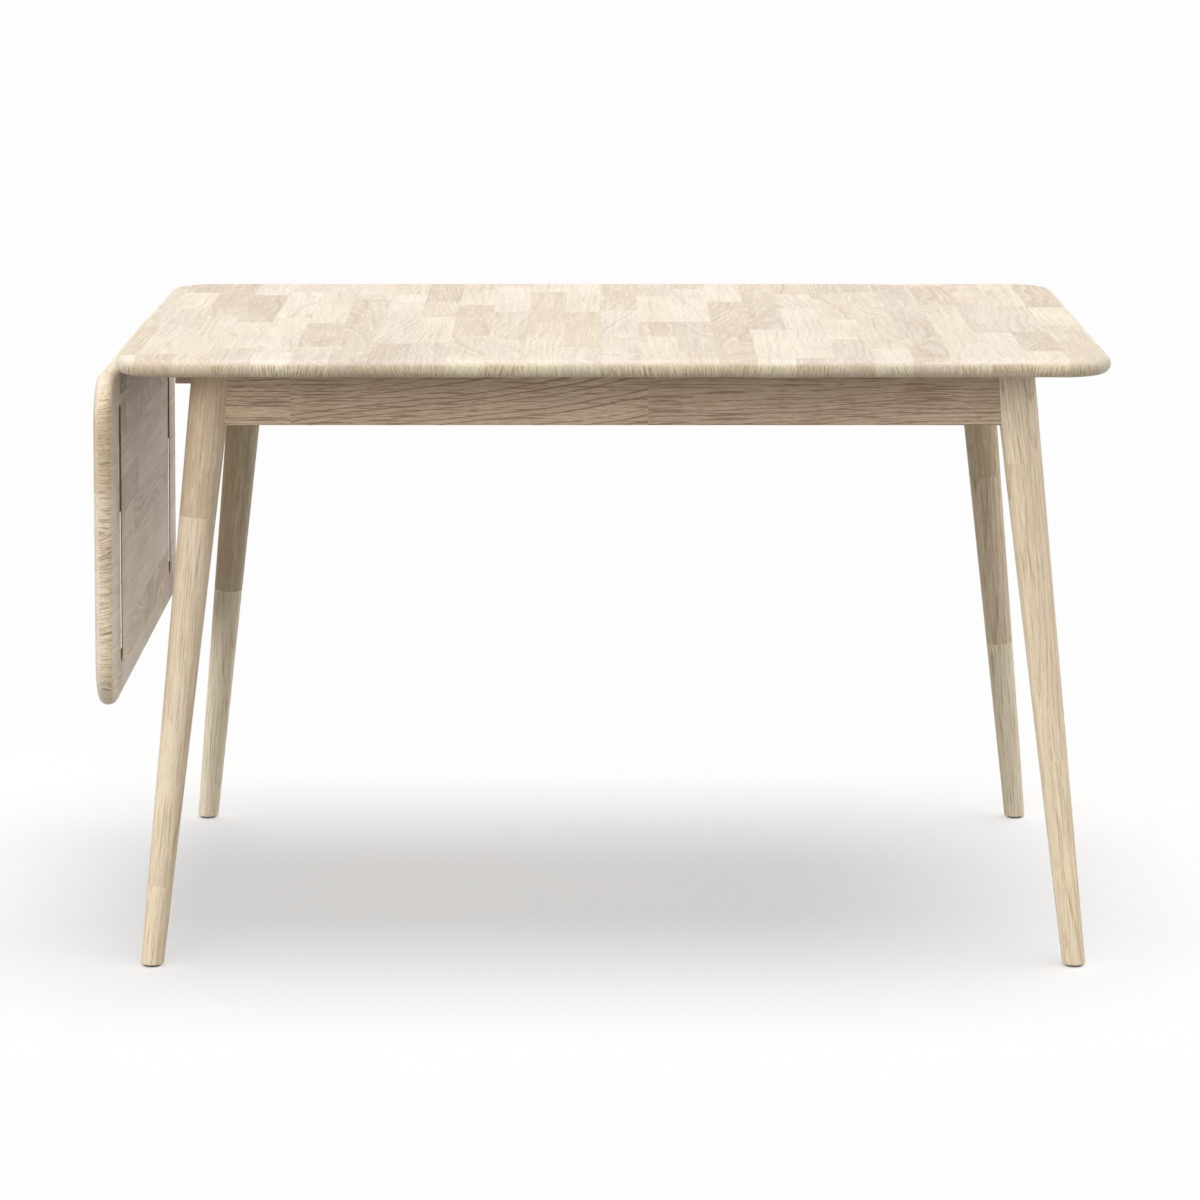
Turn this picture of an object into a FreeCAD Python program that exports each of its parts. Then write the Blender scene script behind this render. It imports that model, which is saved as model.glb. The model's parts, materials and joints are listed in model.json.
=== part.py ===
import FreeCAD, Part
import math
import os

os.makedirs("parts", exist_ok=True)
Vector = FreeCAD.Vector

# Oak table with one drop leaf, which hangs from the end at -X. Millimetres, +Z up from the floor.
# Left is the leaf's end, front is -Y.

# Boards
table_height = 750.0
top_length = 1200.0
top_width = 800.0
leaf_length = 409.0
leaf_gap = 1.0              # between the two boards when the leaf is up
board_thickness = 22.0
board_corner_radius = 60.0
upper_edge_radius = 10.0
lower_edge_radius = 11.0
upper_edge_limit_share = 0.46
lower_edge_limit_share = 0.51

# Legs, round and straight-tapered, splayed both ways
leg_top_diameter = 50.0
leg_foot_diameter = 28.0
leg_inset_x = 114.0         # from the top's end to the leg's axis at its head
leg_inset_y = 87.5
leg_splay_x = 80.0          # from the leg's head to its foot
leg_splay_y = 73.5
leg_foot_rounding = 1.5

# Foot glides
glide_diameter = 22.0
glide_thickness = 2.5
glide_bevel = 0.8
glide_nail_diameter = 3.0
glide_nail_length = 14.0
glide_nail_point = 4.0

# Aprons
apron_height = 67.0
apron_thickness = 20.0
apron_outset = 16.0         # outer face beyond the leg's axis at its head
apron_corner_gap = 7.0      # inside a leg, between the ends of its two aprons
apron_edge_rounding = 1.5

# Corner brackets, bent from strip
corner_reach = 45.0         # from the aprons' inside corner to each bend
corner_flange = 30.0
corner_thickness = 2.5
corner_height = 50.0
corner_screw_spacing = 28.0

# Hanger bolts, washers and nuts
bolt_diameter = 8.0
bolt_spacing = 26.0
bolt_reach = 50.0           # from the bracket into the leg
bolt_point = 6.0
bolt_point_share = 0.35
bolt_tail = 4.0             # past the nut
bolt_end_bevel = 1.0
bolt_hole_clearance = 0.5
washer_diameter = 18.0
washer_thickness = 1.6
nut_width = 13.0            # across flats
nut_height = 6.5

# Countersunk wood screws with a cross recess
screw_head_diameter = 7.0
screw_head_rim = 0.3
screw_head_height = 1.9
screw_shank_diameter = 3.5
screw_point = 4.0
screw_length = 16.0
recess_span = 4.0
recess_width = 0.9
recess_depth = 1.4

# Angle brackets that hold the top
angle_leg = 25.0
angle_width = 20.0
angle_thickness = 2.0
angle_screw_share = 0.60
angle_spacing = 300.0       # along the front and back aprons
angles_to_a_side = 3

# Hinges, with the pin's axis on the lower edges of both boards
hinge_length = 56.0
hinge_reach = 34.0          # from the pin's axis to the plate's end
hinge_plate_thickness = 2.0
hinge_plate_corner = 3.0
hinge_screw_margin = 8.0
hinge_pin_diameter = 4.0
hinge_pin_bevel = 0.5
knuckle_diameter = 8.0
knuckle_gap = 0.3
knuckle_relief = 0.5
knuckle_count = 5
pin_clearance = 0.1
hinge_bearer_gap = 15.0     # between an outer hinge and its bearer
hang_angle = -89.3          # from up to hanging, about +Y: the leaf hangs a little out of plumb

# Stiffeners in the leaf's grooves
stiffener_inset = 100.0     # from the leaf's long edge to the groove's middle line
stiffener_length = 170.0
stiffener_width = 20.0
stiffener_thickness = 8.0
stiffener_recess = 1.0
stiffener_side_gap = 1.5
stiffener_end_gap = 5.0
groove_hinge_margin = 44.0
groove_outer_margin = 44.0
stiffener_screw_count = 3
stiffener_screw_margin = 22.0

# Bearers that pull out under the raised leaf
bearer_corner_gap = 14.5    # from the corner bracket's flange to the bearer
bearer_width = 38.0
bearer_height = 31.0
bearer_length = 600.0
bearer_setback = 59.5       # from the hinge's axis to the bearer's outer end
bearer_pull = 280.0         # until the stop meets the guide, with the leaf up
bearer_clearance = 0.3
bearer_edge_rounding = 1.5
finger_groove_diameter = 14.0
finger_groove_inset = 30.0
stop_diameter = 10.0
stop_inset = 20.0
stop_drop = 9.0
stop_seat_depth = 20.0
stop_bevel = 1.0
guide_width = 25.0
guide_thickness = 2.0
guide_flange = 20.0

cut_overrun = 12.0

# Planes and centre lines that the pieces share
underside = table_height - board_thickness
half_length = top_length / 2
half_width = top_width / 2
leg_x = half_length - leg_inset_x
leg_y = half_width - leg_inset_y
end_apron_outer = leg_x + apron_outset
end_apron_inner = end_apron_outer - apron_thickness
side_apron_outer = leg_y + apron_outset
side_apron_inner = side_apron_outer - apron_thickness
apron_bottom = underside - apron_height
apron_middle = underside - apron_height / 2
hinge_x = -half_length - leaf_gap / 2
hinge_axis = Vector(hinge_x, 0, underside)
leaf_inner = hinge_x - leaf_gap / 2
leaf_outer = leaf_inner - leaf_length
bearer_y = side_apron_inner - corner_reach - corner_flange - bearer_corner_gap - bearer_width / 2
bearer_top = underside - bearer_clearance
bearer_bottom = bearer_top - bearer_height
bearer_outer = hinge_x + bearer_setback
bearer_inner = bearer_outer + bearer_length
stop_x = bearer_inner - stop_inset
guide_inner = stop_x - stop_diameter / 2 - bearer_pull

upper_rounding = min(upper_edge_radius, board_thickness * upper_edge_limit_share)
lower_rounding = min(lower_edge_radius, board_thickness * lower_edge_limit_share)

# The outer hinges stand beside the bearers, towards the corners
outer_hinge_y = bearer_y + bearer_width / 2 + hinge_bearer_gap + hinge_length / 2

# The origin is on the floor under the middle of the whole table with its leaf hanging.
# The rounding of the leaf's outer edge then stands out the farthest.
leaf_swing = FreeCAD.Rotation(Vector(0, 1, 0), hang_angle)
outer_round = Vector(leaf_outer - hinge_x + upper_rounding, 0, board_thickness - upper_rounding)
leaf_farthest = hinge_x + leaf_swing.multVec(outer_round).x - upper_rounding
centre_shift = (leaf_farthest + half_length) / -2

up = Vector(0, 0, 1)
corner_signs = {
    "front_left": (-1, -1),
    "front_right": (1, -1),
    "back_left": (-1, 1),
    "back_right": (1, 1),
}
side_signs = {"front": -1, "back": 1}
hinge_places = {"front": -outer_hinge_y, "middle": 0, "back": outer_hinge_y}


def save(name, shape):
    placed = shape.copy()
    placed.translate(Vector(centre_shift, 0, 0))
    placed.exportStep(f"parts/{name}.step")


def block(low, high):
    size = high - low
    return Part.makeBox(size.x, size.y, size.z, low)


def rod(diameter, start, end):
    return Part.makeCylinder(diameter / 2, (end - start).Length, start, end - start)


def prism(points, sweep):
    return Part.Face(Part.makePolygon(points + points[:1])).extrude(sweep)


# A solid turned about Z from (radius, height) points
def turned(points):
    outline = [Vector(radius, 0, height) for radius, height in points]
    face = Part.Face(Part.makePolygon(outline + outline[:1]))
    return face.revolve(Vector(0, 0, 0), up, 360)


# A copy of a shape made along +Z, with its origin at a place and its Z along a direction
def aimed(shape, place, direction):
    copy = shape.copy()
    copy.Placement = FreeCAD.Placement(place, FreeCAD.Rotation(up, direction))
    return copy


# A copy of a shape made with the leaf up, swung down with the leaf
def hung(shape):
    copy = shape.copy()
    copy.rotate(hinge_axis, Vector(0, 1, 0), hang_angle)
    return copy


def upright_edges(shape):
    return [edge for edge in shape.Edges if edge.BoundBox.ZLength > edge.BoundBox.DiagonalLength / 2]


# Boards

# A board of the table's width between two ends, level with the top
def rounded_board(low_x, high_x):
    slab = block(Vector(low_x, -half_width, underside), Vector(high_x, half_width, table_height))
    slab = slab.makeFillet(board_corner_radius, upright_edges(slab))
    middle = (underside + table_height) / 2
    upper = [edge for edge in slab.Edges if edge.BoundBox.ZMin > middle]
    slab = slab.makeFillet(upper_rounding, upper)
    lower = [edge for edge in slab.Edges if edge.BoundBox.ZMax < middle]
    return slab.makeFillet(lower_rounding, lower)


# Fasteners

def wood_screw():
    head = screw_head_diameter / 2
    shank = screw_shank_diameter / 2
    body = turned([
        (0, 0),
        (head, 0),
        (head, screw_head_rim),
        (shank, screw_head_height),
        (shank, screw_length - screw_point),
        (0, screw_length),
    ])
    half_span = recess_span / 2
    half_slot = recess_width / 2
    slot = block(Vector(-half_span, -half_slot, 0), Vector(half_span, half_slot, recess_depth))
    cross = block(Vector(-half_slot, -half_span, 0), Vector(half_slot, half_span, recess_depth))
    return body.cut([slot, cross]), body


recessed_screw, screw_body = wood_screw()


class ScrewSet:
    def __init__(self):
        self.screws = []
        self.holes = []

    def add(self, place, direction):
        self.screws.append(aimed(recessed_screw, place, direction))
        self.holes.append(aimed(screw_body, place, direction))

    def hung_group(self):
        return Part.makeCompound([hung(screw) for screw in self.screws])

    def group(self):
        return Part.makeCompound(self.screws)


# Hinges, made with the leaf up. A side of 1 is the top's plate, -1 the leaf's.

def hinge_rod(diameter, low_y, high_y):
    return rod(diameter, hinge_axis + Vector(0, low_y, 0), hinge_axis + Vector(0, high_y, 0))


def hinge_plate(place_y, side, bore_diameter, first_knuckle):
    start = knuckle_diameter / 2 + knuckle_relief
    half = hinge_length / 2
    near = hinge_x + side * start
    far = hinge_x + side * hinge_reach
    plate_bottom = underside - hinge_plate_thickness
    plate = block(
        Vector(min(near, far), place_y - half, plate_bottom),
        Vector(max(near, far), place_y + half, underside),
    )
    plate = plate.makeFillet(hinge_plate_corner, upright_edges(plate))
    pitch = hinge_length / knuckle_count
    barrels = []
    for index in range(first_knuckle, knuckle_count, 2):
        low_y = place_y - half + index * pitch + knuckle_gap / 2
        high_y = low_y + pitch - knuckle_gap
        barrels.append(hinge_rod(knuckle_diameter, low_y, high_y))
        tongue_end = near + side * hinge_plate_corner
        barrels.append(block(
            Vector(min(hinge_x, tongue_end), low_y, plate_bottom),
            Vector(max(hinge_x, tongue_end), high_y, underside),
        ))
    bore = hinge_rod(bore_diameter, place_y - hinge_length, place_y + hinge_length)
    return plate.fuse(barrels).cut(bore).removeSplitter()


def hinge_pin(place_y):
    half = hinge_length / 2
    pin = hinge_rod(hinge_pin_diameter, place_y - half, place_y + half)
    rims = [edge for edge in pin.Edges if edge.Closed]
    return pin.makeChamfer(hinge_pin_bevel, rims)


def add_hinge_screws(screws, place_y, side):
    outer = hinge_x + side * (hinge_reach - hinge_screw_margin)
    inner = hinge_x + side * (hinge_reach + knuckle_diameter / 2 + knuckle_relief) / 2
    reach_y = hinge_length / 2 - hinge_screw_margin
    for x, y in ((outer, place_y - reach_y), (outer, place_y + reach_y), (inner, place_y)):
        screws.add(Vector(x, y, underside - hinge_plate_thickness), up)


# Room for the knuckles in the two boards' edges
def knuckle_reliefs():
    reach = hinge_length / 2 + knuckle_relief
    diameter = knuckle_diameter + 2 * knuckle_relief
    return [hinge_rod(diameter, place_y - reach, place_y + reach) for place_y in hinge_places.values()]


# Leaf stiffeners, made with the leaf up

groove_half = stiffener_width / 2 + stiffener_side_gap
groove_start = leaf_inner - groove_hinge_margin - groove_half
groove_end = leaf_outer + groove_outer_margin + groove_half
stiffener_end = groove_end + stiffener_end_gap
stiffener_start = stiffener_end + stiffener_length
stiffener_face = underside + stiffener_recess
groove_floor = stiffener_face + stiffener_thickness


# A groove with round ends, whose centres are its start and end
def stiffener_groove(y):
    low = underside - cut_overrun
    side = Vector(0, groove_half, 0)
    run = block(Vector(groove_end, y, low) - side, Vector(groove_start, y, groove_floor) + side)
    centres = [Vector(x, y, low) for x in (groove_end, groove_start)]
    ends = [rod(2 * groove_half, centre, Vector(centre.x, y, groove_floor)) for centre in centres]
    return run.fuse(ends).removeSplitter()


def stiffener(y):
    low = Vector(stiffener_end, y - stiffener_width / 2, stiffener_face)
    high = Vector(stiffener_start, y + stiffener_width / 2, groove_floor)
    return block(low, high)


def add_stiffener_screws(screws, y):
    first = stiffener_end + stiffener_screw_margin
    last = stiffener_start - stiffener_screw_margin
    for index in range(stiffener_screw_count):
        x = first + (last - first) * index / (stiffener_screw_count - 1)
        screws.add(Vector(x, y, stiffener_face), up)


# Aprons

def side_apron(sign):
    half = end_apron_inner - apron_corner_gap
    outer = sign * side_apron_outer
    inner = sign * side_apron_inner
    return eased_board(
        Vector(-half, min(outer, inner), apron_bottom),
        Vector(half, max(outer, inner), underside),
    )


def end_apron(sign):
    half = side_apron_inner - apron_corner_gap
    outer = sign * end_apron_outer
    inner = sign * end_apron_inner
    return eased_board(
        Vector(min(outer, inner), -half, apron_bottom),
        Vector(max(outer, inner), half, underside),
    )


# A board with its two long lower edges rounded
def eased_board(low, high):
    board = block(low, high)
    longest = max(edge.Length for edge in board.Edges)
    lower = [edge for edge in board.Edges if edge.BoundBox.ZMax < high.z and edge.Length == longest]
    return board.makeFillet(apron_edge_rounding, lower)


def bearer_notch(sign):
    half = bearer_width / 2 + bearer_clearance
    y = sign * bearer_y
    low = Vector(-end_apron_outer - cut_overrun, y - half, bearer_bottom - bearer_clearance)
    high = Vector(-end_apron_inner + cut_overrun, y + half, underside + cut_overrun)
    return block(low, high)


# Legs

def leg_cone(signs):
    head = Vector(signs[0] * leg_x, signs[1] * leg_y, underside)
    foot = Vector(signs[0] * (leg_x + leg_splay_x), signs[1] * (leg_y + leg_splay_y), 0)
    axis = head - foot
    taper_share = cut_overrun / axis.Length
    widening = (leg_top_diameter - leg_foot_diameter) / 2 * taper_share
    reach = axis * taper_share
    cone = Part.makeCone(
        leg_foot_diameter / 2 - widening,
        leg_top_diameter / 2 + widening,
        axis.Length + 2 * cut_overrun,
        foot - reach,
        axis,
    )
    room = leg_top_diameter + leg_splay_x + leg_splay_y
    low = Vector(min(head.x, foot.x) - room, min(head.y, foot.y) - room, glide_thickness)
    high = Vector(max(head.x, foot.x) + room, max(head.y, foot.y) + room, underside)
    leg = cone.common(block(low, high))
    ground = [edge for edge in leg.Edges if edge.BoundBox.ZMax < apron_bottom]
    return leg.makeFillet(leg_foot_rounding, ground)


def foot_glide(signs):
    radius = glide_diameter / 2
    nail = glide_nail_diameter / 2
    tip = glide_thickness + glide_nail_length
    disc = turned([
        (0, 0),
        (radius - glide_bevel, 0),
        (radius, glide_bevel),
        (radius, glide_thickness),
        (nail, glide_thickness),
        (nail, tip - glide_nail_point),
        (0, tip),
    ])
    rise_share = glide_thickness / underside
    x = signs[0] * (leg_x + leg_splay_x * (1 - rise_share))
    y = signs[1] * (leg_y + leg_splay_y * (1 - rise_share))
    return aimed(disc, Vector(x, y, 0), up)


# Corner brackets and the bolts through them

def diagonal(signs):
    return Vector(signs[0], signs[1], 0).normalize()


# Middle of the bracket's slanting face, on the leg's side
def bracket_middle(signs):
    x = signs[0] * (end_apron_inner - corner_reach / 2)
    y = signs[1] * (side_apron_inner - corner_reach / 2)
    return Vector(x, y, apron_middle)


def bolt_places(signs):
    rise = Vector(0, 0, bolt_spacing / 2)
    return [bracket_middle(signs) - rise, bracket_middle(signs) + rise]


def corner_bracket(signs):
    x = end_apron_inner
    y = side_apron_inner
    far = corner_reach + corner_flange
    bend = corner_reach + corner_thickness * math.tan(math.pi / 8)
    inner_x = x - corner_thickness
    inner_y = y - corner_thickness
    plan = [
        (x, y - far),
        (x, y - corner_reach),
        (x - corner_reach, y),
        (x - far, y),
        (x - far, inner_y),
        (x - bend, inner_y),
        (inner_x, y - bend),
        (inner_x, y - far),
    ]
    low = apron_middle - corner_height / 2
    points = [Vector(signs[0] * px, signs[1] * py, low) for px, py in plan]
    bracket = prism(points, Vector(0, 0, corner_height))
    hole_diameter = bolt_diameter + 2 * bolt_hole_clearance
    through = diagonal(signs) * cut_overrun
    holes = [rod(hole_diameter, place - through, place + through) for place in bolt_places(signs)]
    return bracket.cut(holes)


def add_corner_screws(screws, signs):
    along = corner_reach + corner_flange / 2
    for rise in (-corner_screw_spacing / 2, corner_screw_spacing / 2):
        z = apron_middle + rise
        end_x = signs[0] * (end_apron_inner - corner_thickness)
        screws.add(Vector(end_x, signs[1] * (side_apron_inner - along), z), Vector(signs[0], 0, 0))
        side_y = signs[1] * (side_apron_inner - corner_thickness)
        screws.add(Vector(signs[0] * (end_apron_inner - along), side_y, z), Vector(0, signs[1], 0))


# The bolt runs along +Z, with 0 on the bracket's face towards the leg
def hanger_bolt():
    radius = bolt_diameter / 2
    tail = -(corner_thickness + washer_thickness + nut_height + bolt_tail)
    return turned([
        (0, tail),
        (radius - bolt_end_bevel, tail),
        (radius, tail + bolt_end_bevel),
        (radius, bolt_reach - bolt_point),
        (radius * bolt_point_share, bolt_reach),
        (0, bolt_reach),
    ])


def bolt_washer():
    high = -corner_thickness
    low = high - washer_thickness
    ring = rod(washer_diameter, Vector(0, 0, low), Vector(0, 0, high))
    return ring.cut(rod(bolt_diameter, Vector(0, 0, low - cut_overrun), Vector(0, 0, cut_overrun)))


def bolt_nut():
    high = -corner_thickness - washer_thickness
    low = high - nut_height
    corner = nut_width / math.sqrt(3)
    turns = [math.pi / 3 * index for index in range(6)]
    points = [Vector(corner * math.cos(turn), corner * math.sin(turn), low) for turn in turns]
    hexagon = prism(points, Vector(0, 0, nut_height))
    return hexagon.cut(rod(bolt_diameter, Vector(0, 0, low - cut_overrun), Vector(0, 0, cut_overrun)))


def at_bolts(shape, signs):
    return [aimed(shape, place, diagonal(signs)) for place in bolt_places(signs)]


# Angle brackets under the top. A seat is the place on an apron's inner face, at the underside.

def angle_seats():
    seats = []
    for sign in side_signs.values():
        for index in range(angles_to_a_side):
            x = angle_spacing * (index - (angles_to_a_side - 1) / 2)
            seats.append((Vector(x, sign * side_apron_inner, underside), Vector(0, -sign, 0)))
    for sign in (-1, 1):
        seats.append((Vector(sign * end_apron_inner, 0, underside), Vector(-sign, 0, 0)))
    return seats


def angle_bracket(seat, inward):
    along = up.cross(inward)
    start = seat - along * (angle_width / 2)
    profile = [
        (0, 0),
        (angle_leg, 0),
        (angle_leg, -angle_thickness),
        (angle_thickness, -angle_thickness),
        (angle_thickness, -angle_leg),
        (0, -angle_leg),
    ]
    points = [start + inward * out + up * rise for out, rise in profile]
    return prism(points, along * angle_width)


def add_angle_screws(screws, seat, inward):
    reach = angle_leg * angle_screw_share
    screws.add(seat + inward * reach - up * angle_thickness, up)
    screws.add(seat + inward * angle_thickness - up * reach, inward * -1)


# Bearers and their guides

def bearer(sign):
    y = sign * bearer_y
    half = bearer_width / 2
    side = Vector(0, half, 0)
    bar = block(Vector(bearer_outer, y, bearer_bottom) - side, Vector(bearer_inner, y, bearer_top) + side)
    bar = bar.makeFillet(bearer_edge_rounding, bar.Edges)
    groove_x = bearer_outer + finger_groove_inset
    reach = half + cut_overrun
    groove = rod(
        finger_groove_diameter,
        Vector(groove_x, y - reach, bearer_bottom),
        Vector(groove_x, y + reach, bearer_bottom),
    )
    return bar.cut([groove, bearer_stop(sign)])


def bearer_stop(sign):
    radius = stop_diameter / 2
    length = stop_drop + stop_seat_depth
    peg = turned([
        (0, 0),
        (radius - stop_bevel, 0),
        (radius, stop_bevel),
        (radius, length),
        (0, length),
    ])
    return aimed(peg, Vector(stop_x, sign * bearer_y, bearer_bottom - stop_drop), up)


def bearer_guide(sign):
    y = sign * bearer_y
    half = bearer_width / 2 + bearer_clearance
    rim = half + guide_flange
    wall = half + guide_thickness
    floor = bearer_bottom - bearer_clearance
    half_profile = [
        (half, floor),
        (half, underside),
        (rim, underside),
        (rim, underside - guide_thickness),
        (wall, underside - guide_thickness),
        (wall, floor - guide_thickness),
    ]
    profile = half_profile + [(-out, z) for out, z in reversed(half_profile)]
    points = [Vector(guide_inner - guide_width, y + out, z) for out, z in profile]
    return prism(points, Vector(guide_width, 0, 0))


def add_guide_screws(screws, sign):
    out = bearer_width / 2 + bearer_clearance + (guide_flange + guide_thickness) / 2
    for side in (-1, 1):
        y = sign * bearer_y + side * out
        screws.add(Vector(guide_inner - guide_width / 2, y, underside - guide_thickness), up)


# Assembly

hinge_top_screws = ScrewSet()
hinge_leaf_screws = ScrewSet()
stiffener_screws = ScrewSet()
corner_screws = ScrewSet()
angle_screws = ScrewSet()
guide_screws = ScrewSet()

for place_y in hinge_places.values():
    add_hinge_screws(hinge_top_screws, place_y, 1)
    add_hinge_screws(hinge_leaf_screws, place_y, -1)
for signs in corner_signs.values():
    add_corner_screws(corner_screws, signs)
for seat, inward in angle_seats():
    add_angle_screws(angle_screws, seat, inward)
for sign in side_signs.values():
    add_guide_screws(guide_screws, sign)
    add_stiffener_screws(stiffener_screws, sign * (half_width - stiffener_inset))

for hinge_name, place_y in hinge_places.items():
    top_plate = hinge_plate(place_y, 1, hinge_pin_diameter, 0)
    leaf_plate = hinge_plate(place_y, -1, hinge_pin_diameter + 2 * pin_clearance, 1)
    save(f"{hinge_name}_hinge_top_plate", top_plate.cut(hinge_top_screws.holes))
    save(f"{hinge_name}_hinge_leaf_plate", hung(leaf_plate.cut(hinge_leaf_screws.holes)))
    save(f"{hinge_name}_hinge_pin", hinge_pin(place_y))
save("hinge_top_screws", hinge_top_screws.group())
save("hinge_leaf_screws", hinge_leaf_screws.hung_group())

fixed_top = rounded_board(-half_length, half_length)
top_cuts = knuckle_reliefs() + hinge_top_screws.holes + angle_screws.holes + guide_screws.holes
save("fixed_top", fixed_top.cut(top_cuts))

leaf = rounded_board(leaf_outer, leaf_inner)
leaf_cuts = knuckle_reliefs() + hinge_leaf_screws.holes + stiffener_screws.holes
for name, sign in side_signs.items():
    y = sign * (half_width - stiffener_inset)
    leaf_cuts.append(stiffener_groove(y))
    save(f"{name}_leaf_stiffener", hung(stiffener(y).cut(stiffener_screws.holes)))
save("drop_leaf", hung(leaf.cut(leaf_cuts)))
save("leaf_stiffener_screws", stiffener_screws.hung_group())

apron_holes = corner_screws.holes + angle_screws.holes
side_aprons = {sign: side_apron(sign) for sign in side_signs.values()}
end_aprons = {sign: end_apron(sign) for sign in (-1, 1)}
for name, sign in side_signs.items():
    save(f"{name}_apron", side_aprons[sign].cut(apron_holes))
notches = [bearer_notch(sign) for sign in side_signs.values()]
save("hinge_end_apron", end_aprons[-1].cut(notches + apron_holes))
save("far_end_apron", end_aprons[1].cut(apron_holes))

bolts = []
washers = []
nuts = []
for name, signs in corner_signs.items():
    leg_bolts = at_bolts(hanger_bolt(), signs)
    glide = foot_glide(signs)
    housings = [side_aprons[signs[1]], end_aprons[signs[0]]]
    save(f"{name}_leg", leg_cone(signs).cut(housings + leg_bolts + [glide]))
    save(f"{name}_foot_glide", glide)
    save(f"{name}_corner_bracket", corner_bracket(signs).cut(corner_screws.holes))
    bolts += leg_bolts
    washers += at_bolts(bolt_washer(), signs)
    nuts += at_bolts(bolt_nut(), signs)
save("leg_hanger_bolts", Part.makeCompound(bolts))
save("leg_bolt_washers", Part.makeCompound(washers))
save("leg_bolt_nuts", Part.makeCompound(nuts))
save("corner_bracket_screws", corner_screws.group())

angles = [angle_bracket(seat, inward).cut(angle_screws.holes) for seat, inward in angle_seats()]
save("top_angle_brackets", Part.makeCompound(angles))
save("top_angle_screws", angle_screws.group())

for name, sign in side_signs.items():
    save(f"{name}_bearer", bearer(sign))
    save(f"{name}_bearer_stop", bearer_stop(sign))
    save(f"{name}_bearer_guide", bearer_guide(sign).cut(guide_screws.holes))
save("bearer_guide_screws", guide_screws.group())
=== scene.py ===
import json
import math
import bpy
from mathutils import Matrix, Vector


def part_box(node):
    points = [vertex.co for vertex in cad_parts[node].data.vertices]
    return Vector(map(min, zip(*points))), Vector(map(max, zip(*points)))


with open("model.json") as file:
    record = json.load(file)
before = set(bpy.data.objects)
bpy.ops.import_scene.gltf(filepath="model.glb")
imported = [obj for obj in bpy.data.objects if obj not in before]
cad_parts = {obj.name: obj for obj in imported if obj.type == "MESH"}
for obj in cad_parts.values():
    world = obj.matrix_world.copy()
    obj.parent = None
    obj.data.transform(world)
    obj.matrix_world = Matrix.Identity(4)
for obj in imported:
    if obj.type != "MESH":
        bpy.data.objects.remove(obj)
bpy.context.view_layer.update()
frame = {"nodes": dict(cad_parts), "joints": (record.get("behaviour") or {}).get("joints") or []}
nodes = frame["nodes"]
scene = bpy.context.scene
print("frame loaded,", len(nodes), "nodes")


# camera, at the height and distance that the table's corners give
viewpoint = {
    "place": (-0.00233, -5.51266, 1.43172),
    "pitchDown": 0.18801,
    "lens": 129.56,
    "sensor": 36.0,
}


def placeCamera(setup):
    camera = bpy.data.objects.new("camera", bpy.data.cameras.new("camera"))
    camera.data.lens = setup["lens"]
    camera.data.sensor_width = setup["sensor"]
    camera.location = setup["place"]
    camera.rotation_euler = (math.pi / 2 - setup["pitchDown"], 0, 0)
    scene.collection.objects.link(camera)
    scene.camera = camera


placeCamera(viewpoint)
print("camera placed")


# short ways to wire nodes
def feed(tree, socket, value):
    if isinstance(value, bpy.types.NodeSocket):
        tree.links.new(value, socket)
    else:
        socket.default_value = value


def calc(tree, operation, *values):
    node = tree.nodes.new("ShaderNodeMath")
    node.operation = operation
    for socket, value in zip(node.inputs, values):
        feed(tree, socket, value)
    return node.outputs[0]


def chain(tree, operation, values):
    result = values[0]
    for value in values[1:]:
        result = calc(tree, operation, result, value)
    return result


def total(tree, *values):
    return chain(tree, "ADD", values)


def product(tree, *values):
    return chain(tree, "MULTIPLY", values)


def weigh(tree, *pairs):  # values times their weights, added up
    return total(tree, *[product(tree, value, weight) for value, weight in pairs])


def remap(tree, value, low, high, toLow=0.0, toHigh=1.0, smooth=False):
    node = tree.nodes.new("ShaderNodeMapRange")
    node.interpolation_type = "SMOOTHSTEP" if smooth else "LINEAR"
    for socket, setting in zip(node.inputs, (value, low, high, toLow, toHigh)):
        feed(tree, socket, setting)
    return node.outputs[0]


def spread(tree, share, ends):  # a share from 0 to 1, laid out between two ends
    return remap(tree, share, 0.0, 1.0, *ends)


def join(tree, x, y, z):
    node = tree.nodes.new("ShaderNodeCombineXYZ")
    for socket, value in zip(node.inputs, (x, y, z)):
        feed(tree, socket, value)
    return node.outputs[0]


def split(tree, vector):
    node = tree.nodes.new("ShaderNodeSeparateXYZ")
    feed(tree, node.inputs[0], vector)
    return node.outputs


def vectorCalc(tree, operation, first, second):
    node = tree.nodes.new("ShaderNodeVectorMath")
    node.operation = operation
    feed(tree, node.inputs[0], first)
    feed(tree, node.inputs[1], second)
    return node.outputs["Value" if operation == "DOT_PRODUCT" else "Vector"]


def noise(tree, place, size, detail):  # size in metres, along each axis
    node = tree.nodes.new("ShaderNodeTexNoise")
    feed(tree, node.inputs["Vector"], vectorCalc(tree, "DIVIDE", place, size))
    node.inputs["Scale"].default_value = 1.0
    node.inputs["Detail"].default_value = detail
    return node.outputs["Fac"]


def mark(tree, place, kind):  # a noise, or with a window the part of it that stands out
    value = noise(tree, place, kind["size"], kind["detail"])
    if "window" in kind:
        return remap(tree, value, *kind["window"], smooth=True)
    return value


def dice(tree, first, second):  # three random values for a pair of numbers
    node = tree.nodes.new("ShaderNodeTexWhiteNoise")
    node.noise_dimensions = "2D"
    feed(tree, node.inputs["Vector"], join(tree, first, second, 0.0))
    parts = tree.nodes.new("ShaderNodeSeparateColor")
    feed(tree, parts.inputs[0], node.outputs["Color"])
    return parts.outputs


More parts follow.
